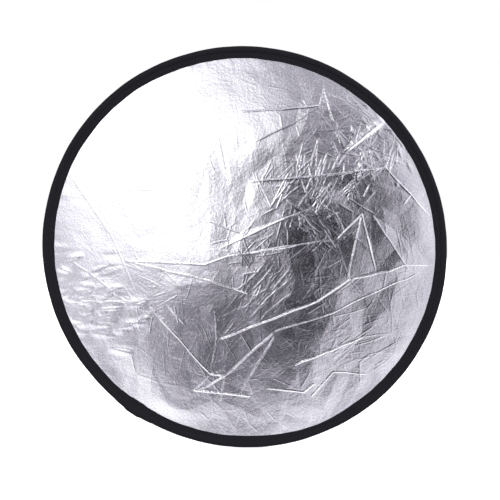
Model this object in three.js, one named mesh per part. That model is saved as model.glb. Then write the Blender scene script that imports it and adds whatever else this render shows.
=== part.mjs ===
// Collapsible reflector disc, held upright: silver face towards -Y, white back towards +Y, +Z up.
// Millimetres. The origin is the centre of the disc, halfway through its thickness.
//
// A sprung steel band, lapped and sleeved at one place, is drawn round into a hoop. A silver cloth
// and a white cloth are stretched inside it, and a black tape is folded over the hoop and over the
// edges of both cloths. Twisting the hoop curls it into three small loops, so the hoop and its tape
// are divided into equal sectors, and each sector turns on the last one. The pivots all lie on the
// band's centre line, at the sectors' ends. The chain starts at the lowest sector and runs round
// both ways to the lap, which is where the closed hoop is open.
import * as THREE from 'three';

// ---- driving dimensions ----
const OUTER_RADIUS = 300;          // 600 mm disc
const RIM_WIDTH = 17.6;            // tape seen from the front, outer edge to inner edge
const RIM_HALF_DEPTH = 3.2;        // half the thickness over the band
const FLAP_HALF_DEPTH = 1.5;       // half the thickness where the tape lies flat on the cloths
const FLAP_END_RADIUS = 289.4;     // the flat of the tape ends here, and the swelling starts
const TAPE_WALL = 0.6;             // folded tape, one layer

const SECTORS = 24;                // rigid lengths of the hoop
const SECTOR_DEG = 360 / SECTORS;
const LAP_DEG = 230;               // where the band's ends meet, counter-clockwise from +X
const JOINT_GAP = 0.6;             // clear gap between neighbouring sectors
const ARC_STEPS = 4;               // flats along each sector

const BAND_RADIUS = 294.8;         // mean centre line of the band
const BAND_WIDTH = 3.2;            // along Y
const BAND_THICKNESS = 0.8;        // along the radius
const BAND_SPIRAL = 2.5;           // the band's ends lie side by side, this far apart
const BAND_OVERLAP_DEG = 3;        // how far the outer end runs past the inner one

const CLOTH_RADIUS = 288;          // both cloths, to their cut edges inside the tape
const CLOTH_THICKNESS = 0.4;
const CLOTH_OFFSET = 0.4;          // each cloth's middle, from the disc's middle plane
const CLOTH_SIDES = 96;

const SLEEVE_FROM_DEG = LAP_DEG + 0.9;
const SLEEVE_TO_DEG = LAP_DEG + 3.9;
const SLEEVE_WALL = 0.4;
const SLEEVE_CLEARANCE = 0.3;
const SLEEVE_OPEN_Y = 0.2;         // the sleeve is open on this side, so that the outer end can lift out

const LAP_TAPE_DEG = 12;           // length of the tape's overlapped end
const LAP_TAPE_STEPS = 6;

// ---- materials ----
const springSteel = new THREE.MeshStandardMaterial({ color: 0x8b8d90, roughness: 0.38, metalness: 0.9 });
const sleeveSteel = new THREE.MeshStandardMaterial({ color: 0xa7a9ac, roughness: 0.45, metalness: 0.85 });
const blackTape = new THREE.MeshStandardMaterial({ color: 0x232327, roughness: 0.85, metalness: 0.0 });
const silverCloth = new THREE.MeshStandardMaterial({ color: 0xc2c2cb, roughness: 0.35, metalness: 0.8 });
const whiteCloth = new THREE.MeshStandardMaterial({ color: 0xe9e9e6, roughness: 0.8, metalness: 0.0 });

const group = new THREE.Group();
group.name = 'reflector_disc';

function add(name, geometry, material) {
  const mesh = new THREE.Mesh(geometry, material);
  mesh.name = name;
  group.add(mesh);
}

const radians = (deg) => deg * Math.PI / 180;
const gapDeg = (JOINT_GAP / 2) / BAND_RADIUS * 180 / Math.PI;
const mirrored = (half) => [...half, ...half.slice().reverse().map(([r, y]) => [r, -y])];

// A closed bar along an arc about the Y axis. section is a counter-clockwise list of [radius, y],
// and shift(deg) is added to every radius at that angle.
function arcBar(section, fromDeg, toDeg, steps, shift = () => 0) {
  const points = [];
  for (let k = 0; k <= steps; k++) {
    const deg = fromDeg + (toDeg - fromDeg) * k / steps;
    const c = Math.cos(radians(deg)), s = Math.sin(radians(deg));
    for (const [r, y] of section) points.push((r + shift(deg)) * c, y, (r + shift(deg)) * s);
  }
  const n = section.length, index = [];
  for (let k = 0; k < steps; k++) {
    for (let i = 0; i < n; i++) {
      const p = k * n + i, q = k * n + (i + 1) % n;
      index.push(p, q, q + n, p, q + n, p + n);
    }
  }
  const outline = section.map(([r, y]) => new THREE.Vector2(r, y));
  for (const [a, b, c] of THREE.ShapeUtils.triangulateShape(outline, [])) {
    const turn = (outline[b].x - outline[a].x) * (outline[c].y - outline[a].y)
      - (outline[b].y - outline[a].y) * (outline[c].x - outline[a].x);
    const [u, v, w] = turn > 0 ? [a, b, c] : [a, c, b];
    index.push(w, v, u, u + steps * n, v + steps * n, w + steps * n);
  }
  const geometry = new THREE.BufferGeometry();
  geometry.setAttribute('position', new THREE.Float32BufferAttribute(points, 3));
  geometry.setIndex(index);
  geometry.computeVertexNormals();
  return geometry;
}

// ---- the folded tape: two flaps on the cloths and a swelling round the band ----
const inner = OUTER_RADIUS - RIM_WIDTH;
const w = TAPE_WALL;
const tapeOutside = [
  [inner, -FLAP_HALF_DEPTH], [FLAP_END_RADIUS, -FLAP_HALF_DEPTH],
  [FLAP_END_RADIUS + 2.2, -RIM_HALF_DEPTH], [OUTER_RADIUS - 2.6, -RIM_HALF_DEPTH],
  [OUTER_RADIUS - 0.6, -RIM_HALF_DEPTH + 1.0], [OUTER_RADIUS, -0.9],
];
const tapeInside = [
  [inner, -FLAP_HALF_DEPTH + w], [FLAP_END_RADIUS + 0.25, -FLAP_HALF_DEPTH + w],
  [FLAP_END_RADIUS + 2.45, -RIM_HALF_DEPTH + w], [OUTER_RADIUS - 2.8, -RIM_HALF_DEPTH + w],
  [OUTER_RADIUS - 1.15, -RIM_HALF_DEPTH + 1.4], [OUTER_RADIUS - w, -0.75],
];
const tapeSection = [...mirrored(tapeOutside), ...mirrored(tapeInside).reverse()];

// ---- the band: a flat strip on edge, whose radius grows slowly from the inner end to the outer ----
const bandSection = [
  [BAND_RADIUS - BAND_THICKNESS / 2, -BAND_WIDTH / 2], [BAND_RADIUS + BAND_THICKNESS / 2, -BAND_WIDTH / 2],
  [BAND_RADIUS + BAND_THICKNESS / 2, BAND_WIDTH / 2], [BAND_RADIUS - BAND_THICKNESS / 2, BAND_WIDTH / 2],
];
const spiral = (deg) => BAND_SPIRAL * ((deg - LAP_DEG) / 360 - 0.5);

for (let i = 0; i < SECTORS; i++) {
  const number = String(i + 1).padStart(2, '0');
  const from = LAP_DEG + SECTOR_DEG * i + gapDeg;
  const to = LAP_DEG + SECTOR_DEG * (i + 1) - gapDeg;
  const bandTo = i === SECTORS - 1 ? to + BAND_OVERLAP_DEG : to;
  add(`steel_band_${number}`, arcBar(bandSection, from, bandTo, ARC_STEPS, spiral), springSteel);
  add(`binding_tape_${number}`, arcBar(tapeSection, from, to, ARC_STEPS), blackTape);
}

// ---- the sleeve over the lapped ends: a channel fixed to the inner end ----
const channelHalf = BAND_SPIRAL / 2 + BAND_THICKNESS / 2 + SLEEVE_CLEARANCE + SLEEVE_WALL;
const floorIn = -BAND_WIDTH / 2 - SLEEVE_CLEARANCE;
const floorOut = floorIn - SLEEVE_WALL;
const sleeveSection = [
  [BAND_RADIUS - channelHalf, floorOut], [BAND_RADIUS + channelHalf, floorOut],
  [BAND_RADIUS + channelHalf, SLEEVE_OPEN_Y], [BAND_RADIUS + channelHalf - SLEEVE_WALL, SLEEVE_OPEN_Y],
  [BAND_RADIUS + channelHalf - SLEEVE_WALL, floorIn], [BAND_RADIUS - channelHalf + SLEEVE_WALL, floorIn],
  [BAND_RADIUS - channelHalf + SLEEVE_WALL, SLEEVE_OPEN_Y], [BAND_RADIUS - channelHalf, SLEEVE_OPEN_Y],
];
add('splice_sleeve', arcBar(sleeveSection, SLEEVE_FROM_DEG, SLEEVE_TO_DEG, 2), sleeveSteel);

// ---- the tape's end, folded over its own start ----
const lapOutside = [
  [inner - 1.2, -FLAP_HALF_DEPTH - 0.9], [FLAP_END_RADIUS - 0.4, -FLAP_HALF_DEPTH - 0.9],
  [FLAP_END_RADIUS + 1.7, -RIM_HALF_DEPTH - 0.9], [OUTER_RADIUS - 2.2, -RIM_HALF_DEPTH - 0.9],
  [OUTER_RADIUS + 0.3, -RIM_HALF_DEPTH + 0.3], [OUTER_RADIUS + 1.2, -1.2],
];
const lapInside = [
  [inner - 1.2, -FLAP_HALF_DEPTH - 0.3], [FLAP_END_RADIUS - 0.1, -FLAP_HALF_DEPTH - 0.3],
  [FLAP_END_RADIUS + 2.1, -RIM_HALF_DEPTH - 0.3], [OUTER_RADIUS - 2.5, -RIM_HALF_DEPTH - 0.3],
  [OUTER_RADIUS - 0.25, -RIM_HALF_DEPTH + 0.75], [OUTER_RADIUS + 0.45, -0.95],
];
const lapSection = [...mirrored(lapOutside), ...mirrored(lapInside).reverse()];
add('binding_lap', arcBar(lapSection, LAP_DEG + gapDeg, LAP_DEG + LAP_TAPE_DEG, LAP_TAPE_STEPS), blackTape);

// ---- the two cloths, flat discs whose edges lie between the tape's flaps ----
for (const [name, side, material] of [['front_fabric', -1, silverCloth], ['back_fabric', 1, whiteCloth]]) {
  const disc = new THREE.CylinderGeometry(CLOTH_RADIUS, CLOTH_RADIUS, CLOTH_THICKNESS, CLOTH_SIDES, 1);
  disc.translate(0, side * CLOTH_OFFSET, 0);
  add(name, disc, material);
}

export default group;
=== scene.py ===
import math
import random

import bpy
import numpy as np
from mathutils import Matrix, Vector
from mathutils.bvhtree import BVHTree
from mathutils.geometry import delaunay_2d_cdt


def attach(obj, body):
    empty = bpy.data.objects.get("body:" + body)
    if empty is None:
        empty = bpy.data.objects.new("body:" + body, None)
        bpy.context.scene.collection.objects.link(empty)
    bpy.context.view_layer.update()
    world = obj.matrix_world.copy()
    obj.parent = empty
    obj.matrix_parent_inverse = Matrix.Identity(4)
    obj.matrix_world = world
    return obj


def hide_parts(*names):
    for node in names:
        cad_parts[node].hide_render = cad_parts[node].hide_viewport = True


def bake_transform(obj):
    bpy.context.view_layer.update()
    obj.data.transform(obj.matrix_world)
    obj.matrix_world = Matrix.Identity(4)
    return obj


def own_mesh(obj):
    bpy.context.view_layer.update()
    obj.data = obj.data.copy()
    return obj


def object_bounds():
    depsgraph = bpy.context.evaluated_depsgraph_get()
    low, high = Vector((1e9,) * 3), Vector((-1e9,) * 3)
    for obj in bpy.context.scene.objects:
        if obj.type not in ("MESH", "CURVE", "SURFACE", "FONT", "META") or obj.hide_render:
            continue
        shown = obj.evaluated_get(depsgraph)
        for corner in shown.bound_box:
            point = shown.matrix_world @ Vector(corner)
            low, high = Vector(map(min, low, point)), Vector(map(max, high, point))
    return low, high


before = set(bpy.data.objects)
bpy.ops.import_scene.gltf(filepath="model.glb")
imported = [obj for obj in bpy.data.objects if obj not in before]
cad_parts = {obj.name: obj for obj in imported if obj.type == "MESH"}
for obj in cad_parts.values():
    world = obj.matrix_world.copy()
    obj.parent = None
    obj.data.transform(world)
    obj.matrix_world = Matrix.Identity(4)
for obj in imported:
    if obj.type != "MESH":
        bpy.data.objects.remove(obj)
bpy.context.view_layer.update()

MM = 0.001
DEG = math.pi / 180

# ---------------------------------------------------------------- the frame's own numbers
SECTORS = 24
STEP = 360 / SECTORS
LAP_DEG = 230                 # the rim's open point, where sector 1 starts
BAND_R = 294.8                # radius the hinges sit on
FOOT = 3                      # the sector that is held
RIM_R = 300.0                 # the rim's outer radius, before it is made slightly oval


def body(i):
    return "foot_sector" if i == FOOT else f"rim_sector_{i:02d}"


def mid_deg(i):
    return LAP_DEG + STEP * (i - 0.5)


def band_point(deg):
    return (BAND_R * MM * math.cos(deg * DEG), 0.0, BAND_R * MM * math.sin(deg * DEG))


# ---------------------------------------------------------------- the rim's slightly uneven outline
def bump(deg, at, wide):
    d = (np.asarray(deg, float) - at + 180) % 360 - 180
    return np.exp(-(d / wide) ** 2)


def wave(deg, seed, amps):
    """A smooth closed curve of small waves round the rim; amps is {waves per turn: size}."""
    draw = random.Random(seed)
    deg = np.asarray(deg, float)
    total = np.zeros_like(deg)
    for k, amp in amps.items():
        total += amp * np.cos(k * deg * DEG + draw.uniform(0, 2 * math.pi))
    return total


def stretch(deg):
    """The hoop is a little oval, longest towards the upper left."""
    oval = 0.008 * np.cos(2 * (np.asarray(deg, float) - 150) * DEG)
    return 1 + oval - 0.003 * bump(deg, 292, 9) - 0.0015 * bump(deg, 220, 6)


def rim_outer(deg):
    return RIM_R * stretch(deg) + wave(deg, 11, {7: 0.18, 13: 0.14, 29: 0.08, 61: 0.05})


def rim_width(deg):
    lean = 0.7 * np.cos((np.asarray(deg, float) - 75) * DEG)
    ripple = wave(deg, 12, {5: 0.25, 11: 0.2, 23: 0.16, 47: 0.1, 71: 0.07})
    return 17.6 + lean - 2.2 * bump(deg, 292, 10) + ripple


# ---------------------------------------------------------------- mesh helpers
def make_object(name, verts, faces, material, normals, uv):
    """A smooth-shaded mesh with a normal and a UV (in metres) for every vertex."""
    mesh = bpy.data.meshes.new(name)
    mesh.from_pydata([tuple(v) for v in verts.tolist()], [], faces)
    layer = mesh.uv_layers.new(name="UVMap")
    index = np.empty(len(mesh.loops), np.int32)
    mesh.loops.foreach_get("vertex_index", index)
    layer.data.foreach_set("uv", uv[index].astype(np.float32).ravel())
    mesh.polygons.foreach_set("use_smooth", np.ones(len(mesh.polygons), bool))
    mesh.update()
    mesh.normals_split_custom_set_from_vertices(normals.tolist())
    obj = bpy.data.objects.new(name, mesh)
    bpy.context.scene.collection.objects.link(obj)
    mesh.materials.append(material)
    return obj


def vertex_normals(verts, tris):
    a, b, c = (verts[tris[:, k]] for k in range(3))
    n = np.cross(b - a, c - a)
    out = np.zeros_like(verts)
    for k in range(3):
        for axis in range(3):
            out[:, axis] += np.bincount(tris[:, k], n[:, axis], len(verts))
    return out / np.maximum(np.linalg.norm(out, axis=1, keepdims=True), 1e-12)


# ---------------------------------------------------------------- node helpers
class Wire:
    """A number flowing through a node tree, so that a pattern can be written as a sum."""

    def __init__(self, tree, socket):
        self.tree, self.socket = tree, socket

    def math(self, kind, *others):
        node = self.tree.nodes.new("ShaderNodeMath")
        node.operation = kind
        for k, value in enumerate((self, *others)):
            if isinstance(value, Wire):
                self.tree.links.new(value.socket, node.inputs[k])
            else:
                node.inputs[k].default_value = value
        return Wire(self.tree, node.outputs[0])

    def __add__(self, o):
        return self.math("ADD", o)

    def __sub__(self, o):
        return self.math("SUBTRACT", o)

    def __mul__(self, o):
        return self.math("MULTIPLY", o)

    def __truediv__(self, o):
        return self.math("DIVIDE", o)

    def clamp(self):
        node = self.tree.nodes.new("ShaderNodeClamp")
        self.tree.links.new(self.socket, node.inputs[0])
        return Wire(self.tree, node.outputs[0])

    def step(self, lo, hi, to_lo=0.0, to_hi=1.0):
        """Smoothly from to_lo at lo to to_hi at hi; lo < hi."""
        node = self.tree.nodes.new("ShaderNodeMapRange")
        node.interpolation_type = "SMOOTHSTEP"
        self.tree.links.new(self.socket, node.inputs["Value"])
        for name, value in (("From Min", lo), ("From Max", hi), ("To Min", to_lo), ("To Max", to_hi)):
            node.inputs[name].default_value = value
        return Wire(self.tree, node.outputs[0])

    def bell(self, at, wide):
        return (((self - at) / wide).math("POWER", 2.0) * -1.0).math("EXPONENT")


def new_material(name):
    mat = bpy.data.materials.new(name)
    mat.use_nodes = True
    tree = mat.node_tree
    return mat, tree, tree.nodes["Principled BSDF"]


def add(tree, kind, **inputs):
    node = tree.nodes.new(kind)
    for key, value in inputs.items():
        key = key.replace("_", " ")
        if hasattr(value, "is_output"):
            tree.links.new(value, node.inputs[key])
        else:
            node.inputs[key].default_value = value
    return node


def noise(tree, vector, scale, detail=2.0, rough=0.5):
    node = add(tree, "ShaderNodeTexNoise", Vector=vector, Scale=scale, Detail=detail, Roughness=rough)
    return Wire(tree, node.outputs["Fac"])


def mix_colour(tree, fac, a, b):
    node = tree.nodes.new("ShaderNodeMix")
    node.data_type = "RGBA"
    tree.links.new(fac.socket, node.inputs["Factor"])
    node.inputs["A"].default_value = (*a, 1)
    node.inputs["B"].default_value = (*b, 1)
    return node.outputs["Result"]


def bumped(tree, shader, height, strength, distance, under=None):
    node = add(tree, "ShaderNodeBump", Height=height.socket, Strength=strength, Distance=distance)
    if under is not None:
        tree.links.new(under, node.inputs["Normal"])
    tree.links.new(node.outputs["Normal"], shader.inputs["Normal"])
    return node.outputs["Normal"]


def flat_map(tree):
    """The cloth's own measure: the UV map is in metres on every piece."""
    node = tree.nodes.new("ShaderNodeUVMap")
    node.uv_map = "UVMap"
    return node.outputs["UV"]


# ---------------------------------------------------------------- materials
def weave(tree, uv, pitch, turn=0.0):
    """Over-and-under threads: two sets of waves that take turns on top."""
    scale = (1 / pitch, 1 / pitch, 1.0)
    node = add(tree, "ShaderNodeMapping", Vector=uv, Scale=scale, Rotation=(0, 0, turn))
    sep = add(tree, "ShaderNodeSeparateXYZ", Vector=node.outputs["Vector"])
    heights = []
    for axes, half in (("XY", 0.5), ("YX", -0.5)):
        x, y = (Wire(tree, sep.outputs[n]) for n in axes)
        thread = (x * math.pi).math("SINE").math("ABSOLUTE")
        over = (x.math("FLOOR") * math.pi + y * math.pi).math("SINE")
        heights.append(thread * (over * half + 0.5))
    return heights[0].math("MAXIMUM", heights[1])


def silver_material():
    mat, tree, bsdf = new_material("crumpled_foil_cloth")
    uv = flat_map(tree)
    bsdf.inputs["Metallic"].default_value = 1.0
    patches = noise(tree, uv, 9.0, 3.0, 0.6)
    speck = noise(tree, uv, 700.0, 2.0, 0.7)
    grain_tone = noise(tree, uv, 480.0, 1.0, 0.5).step(0.3, 0.7)
    colour = mix_colour(tree, grain_tone * 0.7 + patches * 0.3, (0.66, 0.65, 0.70), (0.84, 0.83, 0.89))
    tree.links.new(colour, bsdf.inputs["Base Color"])
    rough = patches.step(0.3, 0.75, 0.085, 0.125) + speck.step(0.35, 0.7, 0.0, 0.04)
    tree.links.new(rough.socket, bsdf.inputs["Roughness"])
    grain = bumped(tree, bsdf, speck, 1.0, 0.00004)
    crinkle = noise(tree, uv, 190.0, 3.0, 0.6)
    web = tree.nodes.new("ShaderNodeTexVoronoi")
    web.feature = "DISTANCE_TO_EDGE"
    tree.links.new(uv, web.inputs["Vector"])
    web.inputs["Scale"].default_value = 170.0
    lines = Wire(tree, web.outputs["Distance"]).step(0.0, 0.13, 1.0, 0.0)
    lines = lines * noise(tree, uv, 60.0, 2.0).step(0.42, 0.65)
    grain = bumped(tree, bsdf, lines, 1.0, 0.000025, grain)
    fine = bumped(tree, bsdf, crinkle, 1.0, 0.00011, grain)
    bumped(tree, bsdf, weave(tree, uv, 0.0006), 1.0, 0.000006, fine)
    return mat


def white_material():
    mat, tree, bsdf = new_material("woven_white_cloth")
    uv = flat_map(tree)
    patches = noise(tree, uv, 14.0, 4.0, 0.6)
    colour = mix_colour(tree, patches.step(0.3, 0.7), (0.80, 0.80, 0.80), (0.86, 0.86, 0.85))
    tree.links.new(colour, bsdf.inputs["Base Color"])
    bsdf.inputs["Roughness"].default_value = 0.62
    bsdf.inputs["Sheen Weight"].default_value = 0.25
    soft = bumped(tree, bsdf, noise(tree, uv, 60.0, 4.0, 0.5), 0.25, 0.0012)
    bumped(tree, bsdf, weave(tree, uv, 0.0007), 0.35, 0.0002, soft)
    return mat


def tape_material(name, pitch):
    mat, tree, bsdf = new_material(name)
    uv = flat_map(tree)
    dust = noise(tree, uv, 55.0, 5.0, 0.65)
    threads = weave(tree, uv, pitch, 45 * DEG)
    tone = (threads * 0.6 + dust * 0.7).step(0.2, 1.0)
    colour = mix_colour(tree, tone, (0.0040, 0.0037, 0.0055), (0.0124, 0.0114, 0.0163))
    tree.links.new(colour, bsdf.inputs["Base Color"])
    tree.links.new(dust.step(0.3, 0.7, 0.72, 0.9).socket, bsdf.inputs["Roughness"])
    bsdf.inputs["Specular IOR Level"].default_value = 0.16
    bsdf.inputs["Sheen Weight"].default_value = 0.03
    bsdf.inputs["Sheen Roughness"].default_value = 0.5
    soft = bumped(tree, bsdf, dust, 0.3, 0.0012)
    bumped(tree, bsdf, threads, 0.6, 0.00025, soft)
    return mat


def steel_material(name, colour, rough):
    mat, tree, bsdf = new_material(name)
    where = tree.nodes.new("ShaderNodeTexCoord").outputs["Object"]
    bsdf.inputs["Metallic"].default_value = 1.0
    marks = noise(tree, where, 260.0, 5.0, 0.6)
    dark = tuple(c * 0.7 for c in colour)
    tree.links.new(mix_colour(tree, marks.step(0.3, 0.7), dark, colour), bsdf.inputs["Base Color"])
    tree.links.new(marks.step(0.25, 0.75, rough - 0.06, rough + 0.1).socket, bsdf.inputs["Roughness"])
    bumped(tree, bsdf, marks, 0.2, 0.0003)
    return mat


SILVER = silver_material()
WHITE = white_material()
TAPE = tape_material("black_woven_tape", 0.0011)
THREAD = tape_material("black_thread", 0.0004)
STEEL = steel_material("blued_spring_steel", (0.42, 0.43, 0.46), 0.3)
SLEEVE = steel_material("zinc_sleeve", (0.62, 0.61, 0.58), 0.38)

# ---------------------------------------------------------------- the crumpled cloth
CLOTH_R = 288.0               # the cloth's edge, inside the tape
CLOTH_OUT = 0.45              # the flat cloth's distance from the disc's middle plane
SINK = 0.25                   # the deepest that a crumple goes below that

# Main creases, (across, up) as shares of the rim's outer radius.
CREASES = (
    ((-0.59, -0.07), (-0.20, -0.09), (-0.09, -0.05), (0.37, 0.03), (0.45, 0.03)),
    ((-0.59, -0.07), (-0.17, -0.17), (0.01, -0.23)),
    ((0.45, 0.03), (0.58, 0.16)),
    ((0.45, 0.03), (0.52, -0.16)),
    ((0.52, -0.16), (0.72, -0.12), (0.79, -0.09), (0.94, -0.09)),
    ((0.52, -0.16), (0.36, -0.27), (-0.13, -0.46)),
    ((0.52, -0.16), (0.59, -0.25)),
    ((0.15, -0.42), (0.43, -0.33), (0.59, -0.25), (0.86, -0.13)),
    ((0.15, -0.42), (-0.10, -0.64), (-0.12, -0.76)),
    ((-0.47, -0.30), (-0.17, -0.63), (-0.10, -0.64), (-0.23, -0.71)),
    ((-0.17, -0.63), (-0.25, -0.71), (0.02, -0.74)),
    ((0.15, -0.44), (-0.03, -0.74)),
    ((-0.15, -0.32), (-0.14, -0.46), (-0.17, -0.62)),
    ((-0.03, 0.67), (0.19, 0.68), (0.37, 0.70), (0.39, 0.78), (0.44, 0.62)),
    ((0.37, 0.70), (0.24, 0.61), (0.05, 0.52)),
    ((0.02, 0.32), (0.36, 0.35), (0.70, 0.39), (0.91, 0.16)),
    ((0.36, 0.53), (0.35, 0.32)),
    ((0.62, 0.48), (0.64, 0.32)),
    ((0.07, 0.32), (0.13, 0.20), (0.22, 0.32)),
    ((0.28, 0.34), (0.31, 0.26), (0.45, 0.16)),
    ((-0.12, -0.01), (0.20, 0.14), (0.33, 0.19), (0.43, 0.05)),
    ((0.24, -0.59), (0.34, -0.55), (0.58, -0.45)),
    ((0.33, -0.74), (0.44, -0.62), (0.61, -0.63)),
    ((0.10, -0.70), (0.29, -0.72), (0.34, -0.68)),
    ((-0.85, 0.33), (-0.66, 0.05), (-0.54, -0.23)),
    ((-0.86, -0.07), (-0.73, -0.16), (-0.59, -0.27)),
    ((0.51, -0.15), (0.58, 0.16), (0.65, -0.12)),
    ((0.63, 0.16), (0.81, -0.11)),
    ((-0.89, -0.27), (-0.52, -0.27)),
    ((-0.19, 0.13), (-0.03, 0.07)),
    ((-0.13, 0.55), (-0.10, 0.39)),
    ((-0.58, 0.28), (-0.44, 0.28)),
)

# Soft folds near the rim: count, then middle and spread of u, v and lean in degrees,
# then the ranges of length, height and width in mm.
PUFFS = (
    (60, (-0.79, 0.09), (-0.29, 0.11), (2, 17), (18, 55), (0.15, 0.6), (2.8, 6.0)),
    (40, (0.64, 0.10), (0.50, 0.15), (-62, 22), (10, 34), (0.08, 0.26), (1.3, 2.6)),
)

# The one broad fold, growing wider towards the rim.
BOLD = ((0.49, 0.465), (0.70, 0.64))

# Families of fine creases that run much the same way: across, up, reach across, reach up,
# lean in degrees, spread of lean, how many, rough length and greatest height in mm.
STREAKS = (
    (0.02, 0.55, 0.10, 0.26, 92, 12, 40, 60, 0.06),
    (0.33, 0.20, 0.13, 0.11, 55, 15, 46, 45, 0.21),
    (0.35, 0.15, 0.12, 0.11, -45, 15, 40, 42, 0.21),
    (0.05, -0.27, 0.09, 0.08, 52, 12, 22, 50, 0.18),
    (0.53, 0.72, 0.14, 0.09, -42, 14, 48, 40, 0.20),
    (0.20, 0.68, 0.20, 0.10, -18, 22, 34, 40, 0.08),
    (0.50, -0.52, 0.16, 0.09, 22, 14, 42, 45, 0.13),
    (0.62, 0.40, 0.13, 0.13, 55, 40, 64, 38, 0.24),
    (-0.48, -0.29, 0.09, 0.07, 10, 50, 34, 34, 0.20),
    (-0.70, -0.28, 0.12, 0.16, 2, 16, 12, 50, 0.07),
    (-0.55, -0.12, 0.14, 0.10, -35, 22, 20, 60, 0.16),
    (0.22, 0.33, 0.20, 0.07, 78, 25, 32, 34, 0.18),
    (0.78, 0.02, 0.09, 0.22, -78, 12, 26, 60, 0.08),
    (-0.05, -0.86, 0.36, 0.06, -62, 20, 30, 36, 0.12),
    (0.74, -0.48, 0.12, 0.20, -75, 14, 22, 55, 0.06),
    (-0.70, -0.05, 0.12, 0.12, -48, 14, 16, 60, 0.10),
    (-0.06, 0.00, 0.17, 0.09, 28, 40, 40, 36, 0.12),
    (0.30, -0.12, 0.20, 0.14, 40, 40, 40, 45, 0.10),
    (-0.15, -0.50, 0.22, 0.16, 60, 50, 36, 50, 0.09),
    (-0.32, -0.42, 0.20, 0.14, -50, 30, 26, 75, 0.10),
    (0.30, -0.30, 0.24, 0.20, -30, 60, 44, 55, 0.10),
    (0.45, 0.62, 0.20, 0.16, 25, 50, 40, 50, 0.13),
)

# Where small crinkles gather: (across, up, reach).
KNOTS = ((0.33, 0.20, 0.17), (0.07, -0.25, 0.10), (-0.48, -0.29, 0.09), (0.45, -0.50, 0.14),
         (0.62, 0.42, 0.16), (-0.03, -0.02, 0.12), (0.35, 0.62, 0.14), (-0.03, 0.27, 0.10))


class Cloth:
    """A disc of cloth as one height field, cut into the same sectors as the rim."""

    def __init__(self, spacing):
        self.rings = int(round(CLOTH_R / spacing))
        self.across = [0] + [max(1, math.ceil(STEP * DEG * CLOTH_R * j / self.rings / spacing))
                             for j in range(1, self.rings + 1)]
        self.start = [0]
        for n in self.across:
            self.start.append(self.start[-1] + max(1, SECTORS * n))
        share, deg = [0.0], [0.0]
        for j in range(1, self.rings + 1):
            n = SECTORS * self.across[j]
            share += [j / self.rings] * n
            deg += (LAP_DEG + 360 * np.arange(n) / n).tolist()
        self.share, self.deg = np.array(share), np.array(deg)
        r = self.share * CLOTH_R * stretch(self.deg)
        self.x, self.z = r * np.cos(self.deg * DEG), r * np.sin(self.deg * DEG)
        self.wedges = [self.wedge(i) for i in range(1, SECTORS + 1)]

    def index(self, sector, ring, column):
        if ring == 0:
            return 0
        n = self.across[ring]
        return self.start[ring] + ((sector - 1) * n + column) % (SECTORS * n)

    def wedge(self, sector):
        """Triangles of one sector: each pair of rings is zipped together, whatever their counts."""
        tris = []
        for j in range(self.rings):
            n0, n1 = self.across[j], self.across[j + 1]
            a = b = 0
            while a < n0 or b < n1:
                out_next = (b + 1) / n1 if b < n1 else math.inf
                in_next = (a + 1) / n0 if a < n0 else math.inf
                p, q = self.index(sector, j, a), self.index(sector, j + 1, b)
                if out_next <= in_next:
                    tris.append((p, q, self.index(sector, j + 1, b + 1)))
                    b += 1
                else:
                    tris.append((p, q, self.index(sector, j, a + 1)))
                    a += 1
        return np.array(tris)


def facet_net(seed, gap, height, lines, x, z):
    """Heights at (x, z) of a net of flat facets, and the net's edges inside the cloth.

    Its points lie about gap apart, and the given lines are among its edges.
    """
    draw = random.Random(seed)
    pts = [Vector(p) for line in lines for p in line]
    edges, k = [], 0
    for line in lines:
        edges += [(k + i, k + i + 1) for i in range(len(line) - 1)]
        k += len(line)
    tries = int(8 * (2 * CLOTH_R / gap) ** 2)
    taken = {}

    def cell(p):
        return int(p[0] // gap), int(p[1] // gap)

    def near(p):
        cx, cy = cell(p)
        around = ((cx + i, cy + j) for i in (-1, 0, 1) for j in (-1, 0, 1))
        return any((p - q).length < gap * 0.72 for place in around for q in taken.get(place, ()))

    for p in pts:
        taken.setdefault(cell(p), []).append(p)
    for _ in range(tries):
        a, r = draw.uniform(0, 2 * math.pi), (CLOTH_R + gap * 1.3) * math.sqrt(draw.random())
        p = Vector((r * math.cos(a), r * math.sin(a)))
        if not near(p):
            taken.setdefault(cell(p), []).append(p)
            pts.append(p)
    for k in range(48):        # a ring well outside, so that the net covers the whole cloth
        a = k * math.pi / 24
        pts.append(Vector((1.5 * CLOTH_R * math.cos(a), 1.5 * CLOTH_R * math.sin(a))))
    verts, new_edges, faces, *_ = delaunay_2d_cdt(pts, edges, [], 0, 0.01)
    level = np.array([draw.uniform(-height, height) for _ in verts])
    if lines:
        # close neighbours keep much the same height, or the slivers between them would be steep
        at = np.array(verts)
        near_by = np.exp(-(((at[:, None] - at[None]) ** 2).sum(2)) / (0.6 * gap) ** 2)
        level = near_by @ level / np.sqrt((near_by ** 2).sum(1))
    tree = BVHTree.FromPolygons([(v[0], v[1], h) for v, h in zip(verts, level)], faces)
    down = Vector((0, 0, -1))
    out = np.empty(len(x))
    for i in range(len(x)):
        hit = tree.ray_cast(Vector((x[i], z[i], 100.0)), down)[0]
        out[i] = hit[2] if hit else 0.0
    inside = [(verts[a], verts[b]) for a, b in new_edges
              if max(verts[a].length, verts[b].length) < CLOTH_R + gap]
    return out, inside


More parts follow.
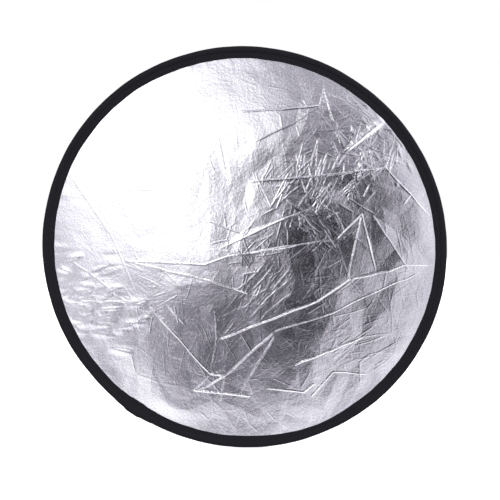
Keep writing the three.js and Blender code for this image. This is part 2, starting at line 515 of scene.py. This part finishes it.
def near_segments(x, z, segments, reach):
    """For each segment: it, the points near it, and their place along it, distance, foot and side."""
    order = np.argsort(x)
    xs, zs = x[order], z[order]
    for segment in segments:
        (ax, az), (bx, bz) = segment[:2]
        far = reach(segment)
        lo, hi = np.searchsorted(xs, (min(ax, bx) - far, max(ax, bx) + far))
        pick = np.nonzero((zs[lo:hi] > min(az, bz) - far) & (zs[lo:hi] < max(az, bz) + far))[0]
        if not len(pick):
            continue
        px, pz = xs[lo:hi][pick], zs[lo:hi][pick]
        dx, dz = bx - ax, bz - az
        t = np.clip(((px - ax) * dx + (pz - az) * dz) / (dx * dx + dz * dz), 0, 1)
        qx, qz = ax + t * dx, az + t * dz
        side = dx * (pz - az) - dz * (px - ax)
        yield segment, order[lo:hi][pick], t, np.hypot(px - qx, pz - qz), qx, qz, side


def snap(cloth, segments, reach):
    """Slides mesh points sideways onto the creases beside them, so that a crease runs along edges."""
    best = np.full(len(cloth.x), reach)
    to_x, to_z = cloth.x.copy(), cloth.z.copy()
    for _, which, t, d, qx, qz, _ in near_segments(cloth.x, cloth.z, segments, lambda segment: reach):
        ok = (d < best[which]) & (cloth.share[which] < 0.985)
        best[which[ok]], to_x[which[ok]], to_z[which[ok]] = d[ok], qx[ok], qz[ok]
    cloth.x, cloth.z = to_x, to_z


def crests(x, z, segments):
    """The highest of many narrow ridges at each point.

    A ridge is (start, end, height, half width, fade in, fade out, lop), where lop is how many times
    wider it is on its left.
    """
    def reach(segment):
        return 2.6 * segment[3] * segment[6]

    top = np.zeros(len(x))
    for segment, which, t, d, _, _, side in near_segments(x, z, segments, reach):
        _, _, height, wide, fade_a, fade_b, lop = segment
        size = np.ones_like(t)
        if fade_a:
            size *= np.clip(t / 0.35, 0, 1)
        if fade_b:
            size *= np.clip((1 - t) / 0.35, 0, 1)
        half = np.where(side > 0, wide * lop, wide)
        np.maximum.at(top, which, height * size * np.exp(-(d / half) ** 2))
    return top


def wander(draw, line, step, sway):
    """The same line in shorter lengths that stray a little from straight."""
    out = [Vector(line[0])]
    for a, b in zip(line, line[1:]):
        a, b = Vector(a), Vector(b)
        count = max(1, round((b - a).length / step))
        across = Vector((a.y - b.y, b.x - a.x)).normalized()
        for k in range(1, count + 1):
            out.append(a.lerp(b, k / count) + across * (draw.gauss(0, sway) if k < count else 0.0))
    return out


def busyness(u, v):
    """How crowded the small creases are at a place: 0 to about 1."""
    knots = sum(0.9 * np.exp(-((u - a) ** 2 + (v - b) ** 2) / reach ** 2) for a, b, reach in KNOTS)
    value = 0.35 + knots
    return np.minimum(value * (0.25 + 0.75 * slack(u, v)), 1.2)


def slack(u, v):
    """0 in the taut upper left of the cloth, 1 elsewhere."""
    return 1 / (1 + np.exp(-(u * 0.8 - v * 0.6 + 0.30) / 0.10))


def broad_fold(x, z):
    """One ridge that grows wider and taller towards the rim."""
    (ax, az), (bx, bz) = ((a * RIM_R, b * RIM_R) for a, b in BOLD)
    run_x, run_z = bx - ax, bz - az
    t = np.clip(((x - ax) * run_x + (z - az) * run_z) / (run_x ** 2 + run_z ** 2), 0, 1)
    away = np.hypot(x - ax - t * run_x, z - az - t * run_z)
    left = run_x * (z - az) - run_z * (x - ax) > 0
    wide = 1.6 + 4.2 * t
    half = np.where(left, wide * 1.5, wide)
    return 0.34 * wide * np.clip(t / 0.15, 0, 1) * np.exp(-(away / half) ** 2)


def main_ridges(draw, lines):
    """The main creases, taller where they run level."""
    ridges = []
    for line in lines:
        size, wide, lop = draw.uniform(0.17, 0.30), draw.uniform(0.54, 0.64), draw.uniform(1.0, 1.5)
        path = wander(draw, line if draw.random() < 0.5 else line[::-1], 17, 0.5)
        for k in range(len(path) - 1):
            level = 0.8 + 0.65 * (path[k + 1] - path[k]).normalized().x ** 2
            height = size * level * draw.uniform(0.75, 1.15)
            ridges.append((path[k], path[k + 1], height, wide, False, k == len(path) - 2, lop))
    return ridges


def streak_ridges(draw):
    """Fine creases, each of two lengths with a slight kink between them."""
    ridges = []
    for u, v, wide_u, wide_v, lean, spread, count, long, tall in STREAKS:
        for _ in range(count):
            p = Vector((draw.gauss(u, wide_u * 0.6) * RIM_R, draw.gauss(v, wide_v * 0.6) * RIM_R))
            if p.length > CLOTH_R * 0.97:
                continue
            a, length = draw.gauss(lean, spread) * DEG, long * draw.uniform(0.4, 1.4)
            size = tall * draw.uniform(0.2, 1.0) ** 1.5
            wide, lop = draw.uniform(0.54, 0.66), draw.uniform(1.0, 1.8)
            kink = draw.gauss(0, 0.10)
            q = p + Vector((math.cos(a), math.sin(a))) * length * 0.5
            end = q + Vector((math.cos(a + kink), math.sin(a + kink))) * length * 0.5
            ridges += [(p, q, size, wide, True, False, lop), (q, end, size, wide, False, True, lop)]
    return ridges


def edge_ridges(draw, edges, often, oftener, heights, least, widths, fade, lop):
    """Small creases along some of a facet net's edges, more and taller where the cloth is busy."""
    ridges = []
    for p, q in edges:
        share = float(busyness(*((p + q) / (2 * RIM_R))))
        if draw.random() < often + oftener * share:
            height = draw.uniform(*heights) * (least + (1 - least) * min(1, share))
            wide = draw.uniform(*widths)
            ridges.append((p, q, height, wide, draw.random() < fade, draw.random() < fade, lop))
    return ridges


def rim_puffs(draw):
    """The soft folds of PUFFS, as ridges."""
    puffs = []
    for count, u_spread, v_spread, lean_spread, lengths, heights, widths in PUFFS:
        for _ in range(count):
            p = Vector((draw.gauss(*u_spread), draw.gauss(*v_spread))) * RIM_R
            lean, length = draw.gauss(*lean_spread) * DEG, draw.uniform(*lengths)
            q = p + Vector((math.cos(lean), math.sin(lean))) * length
            height, wide, lop = draw.uniform(*heights), draw.uniform(*widths), draw.uniform(1.0, 2.0)
            puffs.append((p, q, height, wide, True, True, lop))
    return puffs


def front_height(cloth):
    lines = [[(a * RIM_R, b * RIM_R) for a, b in line] for line in CREASES + (BOLD,)]
    draw = random.Random(7)
    ridges = main_ridges(draw, lines[:-1]) + streak_ridges(draw)
    _, mid_edges = facet_net(2, 21, 0.22, [], cloth.x[:1], cloth.z[:1])
    _, small_edges = facet_net(3, 9, 0.07, [], cloth.x[:1], cloth.z[:1])
    ridges += edge_ridges(draw, mid_edges, 0.12, 0.18, (0.06, 0.16), 0.4, (0.6, 0.75), 0.6, 1.3)
    ridges += edge_ridges(draw, small_edges, 0.04, 0.10, (0.03, 0.09), 0.3, (0.55, 0.7), 0.7, 1.2)
    snap(cloth, ridges, 0.5)
    x, z = cloth.x, cloth.z
    u, v = x / RIM_R, z / RIM_R
    rho = cloth.share
    inner = np.clip((1 - rho) / 0.10, 0, 1)
    ease = inner * inner * (3 - 2 * inner)
    calm = slack(u, v)
    big, _ = facet_net(1, 52, 0.65, lines, x, z)
    mid, _ = facet_net(2, 21, 0.22, [], x, z)
    small, _ = facet_net(3, 9, 0.07, [], x, z)
    dome = 2.2 * (1 - rho ** 2)
    roll = 0.5 * np.sin(0.022 * (x * 0.64 + z * 0.77) + 0.6) * np.sin(0.028 * (x * 0.77 - z * 0.64))
    ridge = crests(x, z, ridges)

    # short waves where the cloth gathers at the rim, strongest at the lower left
    phi = cloth.deg
    depth = 0.055 + 0.06 * bump(phi, 195, 20) + wave(phi, 4, {19: 0.012, 31: 0.012, 53: 0.006})
    strength = 0.25 + 0.8 * bump(phi, 197, 20) + 0.5 * bump(phi, 40, 26) + 0.35 * bump(phi, 285, 30)
    gather = np.exp(-((1 - rho) / np.maximum(depth, 0.02)) ** 2) * strength
    drift = phi + wave(phi, 8, {9: 1.3, 17: 0.9, 29: 0.4})
    pucker = gather * wave(drift, 5, {47: 0.09, 67: 0.10, 89: 0.09, 113: 0.05})
    pucker = pucker + crests(x, z, rim_puffs(draw))
    edge = np.clip((1 - rho) / 0.028, 0, 1)
    loose = 0.2 + 0.8 / (1 + np.exp(-(u * 0.8 - v * 0.6 + 0.07) / 0.10))
    facets = big * loose + mid * (0.4 + 0.6 * calm) + small * busyness(u, v)
    crumple = facets + roll + ridge * (0.45 + 0.55 * calm)
    fold = np.clip((1 - rho) / 0.07, 0, 1) * broad_fold(x, z)
    return dome + ease * crumple + edge * pucker + fold


def back_height(cloth):
    x, z, rho = cloth.x, cloth.z, cloth.share
    inner = np.clip((1 - rho) / 0.12, 0, 1)
    ease = inner * inner * (3 - 2 * inner)
    big, big_edges = facet_net(21, 78, 1.7, [], x, z)
    mid, mid_edges = facet_net(22, 30, 0.40, [], x, z)
    draw = random.Random(23)
    ridges = []
    for edges, often, low, high in ((big_edges, 0.60, 0.20, 0.55), (mid_edges, 0.16, 0.08, 0.28)):
        for p, q in edges:
            if draw.random() < often:
                height, wide = draw.uniform(low, high), draw.uniform(2.4, 3.2)
                ridges.append((p, q, height, wide, draw.random() < 0.5, draw.random() < 0.5, 1.4))
    ridge = crests(x, z, ridges)
    phi = cloth.deg
    pucker = np.sin(phi * DEG * 70 + wave(phi, 25, {3: 1.2, 8: 0.9}))
    pucker = np.exp(-((1 - rho) / 0.08) ** 2) * 0.30 * pucker
    edge = np.clip((1 - rho) / 0.028, 0, 1)
    return 2.0 * (1 - rho ** 2) + ease * (big + mid + ridge) + edge * pucker


def cloth_pieces(name, node, cloth, height, side, material):
    """side -1 is the front, towards -Y, and +1 the back."""
    y = side * (CLOTH_OUT + np.maximum(height, -SINK))
    verts = np.stack([cloth.x, y, cloth.z], 1) * MM
    tris = [w if side < 0 else w[:, ::-1] for w in cloth.wedges]
    normals = vertex_normals(verts, np.concatenate(tris))
    uv = np.stack([cloth.x, cloth.z], 1) * MM
    for i, faces in enumerate(tris, 1):
        used, local = np.unique(faces, return_inverse=True)
        wedge = local.reshape(faces.shape).tolist()
        obj = make_object(f"{name}_{i:02d}", verts[used], wedge, material, normals[used], uv[used])
        mid = mid_deg(i) * DEG
        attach(obj, body(i))
        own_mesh(obj)
        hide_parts(node)


front = Cloth(0.9)
cloth_pieces("silver_cloth", "front_fabric", front, front_height(front), -1, SILVER)
back = Cloth(2.5)
cloth_pieces("white_cloth", "back_fabric", back, back_height(back), 1, WHITE)


# ---------------------------------------------------------------- the rim: tape, band, lap and thread
def smooth_path(points, per):
    """A Catmull-Rom curve through the points, per steps a span."""
    before = 2 * np.array(points[0]) - points[1]
    after = 2 * np.array(points[-1]) - points[-2]
    p = np.array([before, *points, after], float)
    t = np.linspace(0, 1, per, endpoint=False)[:, None]
    out = []
    for k in range(1, len(p) - 2):
        a, b, c, d = p[k - 1], p[k], p[k + 1], p[k + 2]
        square, cube = 2 * a - 5 * b + 4 * c - d, 3 * b - a - 3 * c + d
        out.append(0.5 * (2 * b + (c - a) * t + square * t ** 2 + cube * t ** 3))
    return np.concatenate([*out, p[-2:-1]])


# Half sections of the folded tape, front side. Each row is 0 for the inner edge or 1 for the
# outer one, then mm from that edge and mm of depth.
TAPE_SKIN = (
    (0, 0.05, 0.72), (0, -0.02, 1.1), (0, 0.35, 1.46), (0, 1.3, 1.58), (0, 2.4, 1.47),
    (0, 3.6, 1.62), (0, 6.0, 1.72), (1, 9.2, 2.05), (1, 7.9, 2.75), (1, 6.2, 3.15),
    (1, 3.6, 3.2), (1, 1.7, 2.85), (1, 0.55, 1.9), (1, 0.08, 0.9), (1, 0.0, 0.0),
)
TAPE_LINING = (
    (1, 0.6, 0.0), (1, 0.75, 0.9), (1, 1.4, 1.8), (1, 3.6, 2.6), (1, 6.0, 2.55),
    (1, 7.6, 2.1), (1, 9.0, 1.4), (0, 6.0, 1.1), (0, 2.4, 0.95), (0, 0.3, 0.72),
)
SKIN = smooth_path(TAPE_SKIN, 2)
LINING = smooth_path(TAPE_LINING, 1)


def loop_rows(skin, lining):
    """A closed section, skin then lining. Its rows are (share, offset, depth, side)."""
    front = [(*row, -1) for row in skin]
    behind = [(*row, 1) for row in skin[-2::-1]]
    back_in = [(*row, 1) for row in lining[::-1]]
    front_in = [(*row, -1) for row in lining[1:]]
    return np.array(front + behind + back_in + front_in)


def sweep(degs, rows, inner, outer, swell):
    """A closed section swept round the rim. swell(deg) multiplies the depth."""
    degs = np.asarray(degs, float)
    share, offset, depth, side = rows.T
    r_in, r_out, grow = inner(degs)[:, None], outer(degs)[:, None], swell(degs)[:, None]
    r = (1 - share) * (r_in + offset) + share * (r_out - offset)
    y = np.broadcast_to(side * depth, r.shape) * grow
    a = degs[:, None] * DEG
    verts = np.stack([r * np.cos(a), y, r * np.sin(a)], 2)
    n, m = r.shape
    around = np.concatenate([[0], np.cumsum(np.linalg.norm(np.diff(verts[0], axis=0), axis=1))])
    uv = np.stack([np.broadcast_to(a * BAND_R, (n, m)), np.broadcast_to(around, (n, m))], 2) * MM
    verts = verts.reshape(-1, 3) * MM
    k = np.arange(n - 1)[:, None] * m
    j = np.arange(m)[None, :]
    j2 = (j + 1) % m
    faces = np.stack([k + j, k + j2, k + m + j2, k + m + j], 2).reshape(-1, 4)
    return verts, faces, uv.reshape(-1, 2), m


def quads_normals(verts, faces):
    tris = np.concatenate([faces[:, [0, 1, 2]], faces[:, [0, 2, 3]]])
    return vertex_normals(verts, tris)


def swept_piece(lo, hi, step, rows, inner, outer, swell, capped):
    """One length of a swept section, with or without the tape's end caps.

    Its normals are taken from a slightly longer one, so that neighbours match.
    """
    count = max(2, int(round((hi - lo) / step)))
    degs = np.linspace(lo, hi, count + 1)
    longer = np.concatenate([[lo - step], degs, [hi + step]])
    verts, faces, uv, m = sweep(longer, rows, inner, outer, swell)
    normals = quads_normals(verts, faces)
    keep = slice(m, len(verts) - m)
    verts, normals, uv = verts[keep], normals[keep], uv[keep]
    faces = [tuple(f) for f in faces[:count * m].tolist()]
    for end in (0, 1) if capped else ():
        ring = verts[:m] if end == 0 else verts[-m:]
        base = len(verts)
        a = degs[0 if end == 0 else -1] * DEG
        along = np.array([-math.sin(a), 0, math.cos(a)]) * (-1 if end == 0 else 1)
        verts = np.concatenate([verts, ring])
        normals = np.concatenate([normals, np.tile(along, (m, 1))])
        uv = np.concatenate([uv, uv[:m] if end == 0 else uv[base - m:base]])
        faces += cap_ladder(base, m, end == 0)
    return verts, faces, normals, uv


def cap_ladder(base, m, flip):
    """The tape's section is a thin C, so its cap is a ladder between the skin and the lining."""
    rungs = []
    n_skin = 2 * len(SKIN) - 1
    n_lining = m - n_skin
    a, b = 0, m - 1            # walk the skin forwards and the lining backwards
    while a < n_skin - 1 or b > n_skin:
        fa, fb = a / (n_skin - 1), (m - 1 - b) / (n_lining - 1)
        if b > n_skin and (fb < fa or a == n_skin - 1):
            rungs.append((base + a, base + b - 1, base + b))
            b -= 1
        else:
            rungs.append((base + a, base + a + 1, base + b))
            a += 1
    return [t if flip else t[::-1] for t in rungs]


def add_swept(name, k, parts, material, nodes):
    """Joins (verts, faces, normals, uv) parts into one piece, the length between sectors k and k+1."""
    verts, faces, normals, uv, base = [], [], [], [], 0
    for part_verts, part_faces, part_normals, part_uv in parts:
        verts.append(part_verts)
        faces += [tuple(i + base for i in face) for face in part_faces]
        normals.append(part_normals)
        uv.append(part_uv)
        base += len(part_verts)
    verts, normals, uv = (np.concatenate(rows) for rows in (verts, normals, uv))
    obj = make_object(name, verts, faces, material, normals, uv)
    start, end = Vector(band_point(mid_deg(k))), Vector(band_point(mid_deg(k + 1)))
    body(k)
    body(k + 1)
    start.lerp(end, 0.15)
    end.lerp(start, 0.15)
    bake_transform(obj)
    if nodes:
        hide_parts(*nodes)


def rim_inner(deg):
    return rim_outer(deg) - rim_width(deg)


def plain(deg):
    return np.ones_like(np.asarray(deg, float))


TAPE_ROWS = loop_rows(SKIN, LINING)
ROUND_END = LAP_DEG + 360

# The band winds in a slight spiral, so that its ends lie side by side in the sleeve.
BAND_SPIRAL = 2.5
BAND_T, BAND_W = 0.8, 3.2


def band_centre(deg):
    turns = (np.asarray(deg, float) - LAP_DEG) / 360
    return (BAND_R + BAND_SPIRAL * (turns - 0.5)) * stretch(deg)


def band_rows():
    """The band's section, a strip with its four corners softened."""
    half_t, half_w, soft = BAND_T / 2, BAND_W / 2, 0.22
    rows = []
    for sx, sy in ((-1, -1), (1, -1), (1, 1), (-1, 1)):
        corner = [(sx * half_t, sy * (half_w - soft)),
                  (sx * (half_t - soft * 0.3), sy * (half_w - soft * 0.3)),
                  (sx * (half_t - soft), sy * half_w)]
        rows += corner if sx * sy > 0 else corner[::-1]
    return np.array([(1, -t, abs(w), -1 if w < 0 else 1) for t, w in rows])


BAND_ROWS = band_rows()


def stitch(deg, r, y, side, length, across=0.0):
    """One thread stitch lying on the tape: a small arched bar, its ends sunk into the cloth."""
    rings, sides = 5, 6
    t = np.linspace(-0.5, 0.5, rings)
    arch = 0.30 * np.cos(t * math.pi) ** 0.6 - 0.16
    thick = 0.26 * (0.45 + 0.55 * np.cos(t * math.pi) ** 0.5)
    a = deg * DEG
    out = np.array([math.cos(a), 0, math.sin(a)])
    on = np.array([-math.sin(a), 0, math.cos(a)])
    line = on * math.cos(across) + out * math.sin(across)
    wide = out * math.cos(across) - on * math.sin(across)
    up = np.array([0, side, 0.0])
    centre = out * r + up * y
    turns = np.linspace(0, 2 * math.pi, sides, endpoint=False)
    verts, normals = [], []
    for k in range(rings):
        mid = centre + line * (t[k] * length) + up * arch[k]
        for turn in turns:
            d = wide * math.cos(turn) + up * math.sin(turn)
            verts.append(mid + d * thick[k])
            normals.append(d)
    faces = []
    for k in range(rings - 1):
        for j in range(sides):
            near, far = k * sides, (k + 1) * sides
            after = (j + 1) % sides
            faces.append((near + j, near + after, far + after, far + j))
    faces += [tuple(range(sides))[::-1], tuple(range((rings - 1) * sides, rings * sides))]
    if np.dot(np.cross(wide, up), line) < 0:
        faces = [face[::-1] for face in faces]
    verts = np.array(verts) * MM
    uv = np.stack([np.repeat(t * length, sides), np.tile(turns, rings) * 0.2], 1) * MM
    return verts, faces, np.array(normals), uv


STITCH_PITCH = 0.64           # degrees from stitch to stitch
STITCH_Y = 1.50               # the tape's depth along the seam
LAP_SPAN = 12                 # degrees that the tape's end overlaps its start
LAP_SWELL = 1.34              # how many times deeper the tape is there
wobble = random.Random(31)
for k in range(1, SECTORS):
    lo = LAP_DEG if k == 1 else mid_deg(k)
    hi = ROUND_END if k == SECTORS - 1 else mid_deg(k + 1)
    tape = swept_piece(lo, hi, 0.25, TAPE_ROWS, rim_inner, rim_outer, plain, True)
    nodes = [f"binding_tape_{k:02d}"] + (["binding_tape_24"] if k == SECTORS - 1 else [])
    add_swept(f"rim_tape_{k:02d}", k, [tape], TAPE, nodes)
    band = swept_piece(lo, hi, 0.75, BAND_ROWS, band_centre, band_centre, plain, False)
    verts, faces, normals, uv = band
    last = len(verts)
    faces = faces + [tuple(range(len(BAND_ROWS)))[::-1], tuple(range(last - len(BAND_ROWS), last))]
    nodes = [f"steel_band_{k:02d}"] + (["steel_band_24"] if k == SECTORS - 1 else [])
    add_swept(f"hoop_band_{k:02d}", k, [(verts, faces, normals, uv)], STEEL, nodes)
    stitches = []
    count = int(round((hi - lo) / STITCH_PITCH))
    for s in range(count):
        deg = lo + (s + 0.5) * (hi - lo) / count
        if k == 1 and deg < LAP_DEG + LAP_SPAN + 0.5:      # the overlap has its own stitches
            continue
        for side in (-1, 1):
            r = float(rim_inner(deg)) + 2.4 + wobble.uniform(-0.12, 0.12)
            stitches.append(stitch(deg, r, STITCH_Y, side, 2.3, wobble.uniform(-0.06, 0.06)))
    add_swept(f"rim_stitching_{k:02d}", k, stitches, THREAD, [])

# the overlapped end of the tape, over the joint of the hoop
LAP_END = LAP_DEG + LAP_SPAN
LUMP_FROM, LUMP_TO = 232.8, 238.7


def lap_rise(deg):
    """1 along the overlap, easing down at both its ends."""
    deg = np.asarray(deg, float)
    return np.clip((deg - LAP_DEG + 0.6) / 1.6, 0, 1) * np.clip((LAP_END - deg) / 2.4 + 0.2, 0, 1)


def lap_lump(deg):
    """The thick place where the tape's end is turned under."""
    deg = np.asarray(deg, float)
    return np.clip((deg - LUMP_FROM) / 1.0, 0, 1) * np.clip((LUMP_TO - deg) / 1.3, 0, 1)


def lap_inner(deg):
    return rim_inner(deg) - 0.45 - 0.35 * lap_rise(deg) - 1.1 * lap_lump(deg)


def lap_outer(deg):
    return rim_outer(deg) + 0.35 + 0.40 * lap_rise(deg) + 1.5 * lap_lump(deg)


def lap_swell(deg):
    return LAP_SWELL - 0.10 + 0.10 * lap_rise(deg)


lap = swept_piece(LAP_DEG - 0.5, LAP_END, 0.25, TAPE_ROWS, lap_inner, lap_outer, lap_swell, True)
lap_stitches = []
for side in (-1, 1):
    for s in range(19):
        deg = LAP_DEG + 0.3 + s * 0.62
        r = float(rim_inner(deg)) + 1.9
        lap_stitches.append(stitch(deg, r, STITCH_Y * LAP_SWELL, side, 2.2))
    for deg in (LAP_DEG + 1.2, LAP_END - 1.4):
        for s in range(4):
            r = float(rim_inner(deg)) + 3.6 + s * 3.0
            y = LAP_SWELL * (1.6, 1.95, 3.0, 3.0)[s]
            lap_stitches.append(stitch(deg, r, y, side, 2.2, math.pi / 2))
add_swept("rim_lap", 1, [lap], TAPE, ["binding_lap"])
add_swept("rim_lap_stitching", 1, lap_stitches, THREAD, [])

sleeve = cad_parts["splice_sleeve"]
for material_slot in sleeve.material_slots:
    material_slot.material = SLEEVE

# ---------------------------------------------------------------- floor, light and camera
floor_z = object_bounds()[0].z
bpy.ops.mesh.primitive_plane_add(size=40, location=(0, 0, floor_z))
floor = bpy.context.object
floor.name = "studio_floor"
mat, tree, bsdf = new_material("studio_floor")
bsdf.inputs["Base Color"].default_value = (0.86, 0.86, 0.87, 1)
bsdf.inputs["Roughness"].default_value = 0.8
bsdf.inputs["Emission Color"].default_value = (1, 1, 1, 1)
bsdf.inputs["Emission Strength"].default_value = 0.60
floor.data.materials.append(mat)
floor.visible_glossy = False      # the cloth mirrors the studio, not the floor
floor.visible_diffuse = False     # and its folds are shaded by the soft lights alone

world = bpy.data.worlds.new("studio")
bpy.context.scene.world = world
world.use_nodes = True
tree = world.node_tree
tree.nodes.clear()
coord = tree.nodes.new("ShaderNodeTexCoord")
sep = add(tree, "ShaderNodeSeparateXYZ", Vector=coord.outputs["Generated"])
dx, dy, dz = (Wire(tree, sep.outputs[n]) for n in "XYZ")
ahead = (dy * -1.0).math("MAXIMUM", 0.02)
px, pz = dx / ahead, dz / ahead
front_half = (dy * -1.0).step(0.0, 0.35)

# px, pz: where a direction meets a wall one metre away, on the side that the silver cloth faces.
# A big soft light hangs at the upper left, a dark gap curves round it, and pale walls lie beyond.
# far is the distance from the light's middle, cut to a fifth on its upper left, where the light
# reaches far out. bearing runs from -1 on its lower left to 1 on its upper right.
SPREAD = 1 / 3
a, b = px / SPREAD + 0.35, pz / SPREAD - 0.45
main, cross = a * 0.8 - b * 0.6, a * 0.6 + b * 0.8
main = main.math("MAXIMUM", main * 0.2)
far = (main * main + cross * cross).math("SQRT").math("MAXIMUM", 0.01)
bearing = cross / far
below = bearing * -1.0
shift = bearing.step(-0.95, -0.35, 0.0, 0.08) + bearing.step(-0.4, 0.05, 0.0, 0.28)
shift = shift + bearing.step(0.45, 0.88, 0.0, -0.33)
soft_light = (far + shift).step(0.0, 1.02, 2.5, 0.0)
reach = far + bearing.math("MINIMUM", 0.0) * 0.30 + bearing.math("MAXIMUM", 0.0) * 0.12
walls = reach.step(0.98, 1.44, 0.0, 0.84) + far.step(1.55, 2.2, 0.0, 0.75)
gap = far.bell(1.0, 0.33)
lift = bearing.step(0.15, 0.85, 0.0, 0.26) + below.step(0.15, 0.7, 0.0, 0.15)
low_left = below.step(0.55, 0.95, 0.0, 0.90) * far.step(0.9, 1.3)
low_left = low_left + below.step(0.85, 1.0, 0.0, 0.34) * far.step(0.4, 0.8)
near = soft_light + walls + gap * lift + low_left * (walls * -0.6 + 1.0)

# the rest of the room: two tall soft lights at the sides, darker towards the floor
outer = far.step(2.7, 3.9)
room = dz.step(-0.45, 0.6, 0.22, 0.80) + dx.bell(-0.84, 0.20) * 0.9 + dx.bell(0.76, 0.22) * 0.8
value = near * (outer * -1.0 + 1.0) + room * outer + dz.step(0.3, 0.85) * 0.8
behind = (dx * 0.78 + dy * 0.40 + dz * 0.48).step(0.55, 0.95, 0.0, 3.9) + dz.step(-0.3, 0.8, 0.05, 0.25)
value = value * front_half + behind * (front_half * -1.0 + 1.0)
emit = tree.nodes.new("ShaderNodeBackground")
tint = mix_colour(tree, (value / 1.4).clamp(), (1.0, 0.965, 1.12), (1.0, 1.0, 0.995))
tree.links.new(tint, emit.inputs["Color"])
tree.links.new(value.socket, emit.inputs["Strength"])
white = add(tree, "ShaderNodeBackground", Color=(1, 1, 1, 1), Strength=1.0)
path = tree.nodes.new("ShaderNodeLightPath")
both = tree.nodes.new("ShaderNodeMixShader")
tree.links.new(path.outputs["Is Camera Ray"], both.inputs[0])
tree.links.new(emit.outputs[0], both.inputs[1])
tree.links.new(white.outputs[0], both.inputs[2])
out = tree.nodes.new("ShaderNodeOutputWorld")
tree.links.new(both.outputs[0], out.inputs["Surface"])

camera = bpy.data.objects.new("camera", bpy.data.cameras.new("camera"))
bpy.context.scene.collection.objects.link(camera)
camera.data.lens = 43.5
camera.data.sensor_width = 36
camera.data.dof.use_dof = False
camera.location = (0.0077, -0.90, -0.0048)
camera.rotation_euler = (math.pi / 2, 0, 0)
bpy.context.scene.camera = camera
bpy.context.scene.view_settings.view_transform = "Standard"
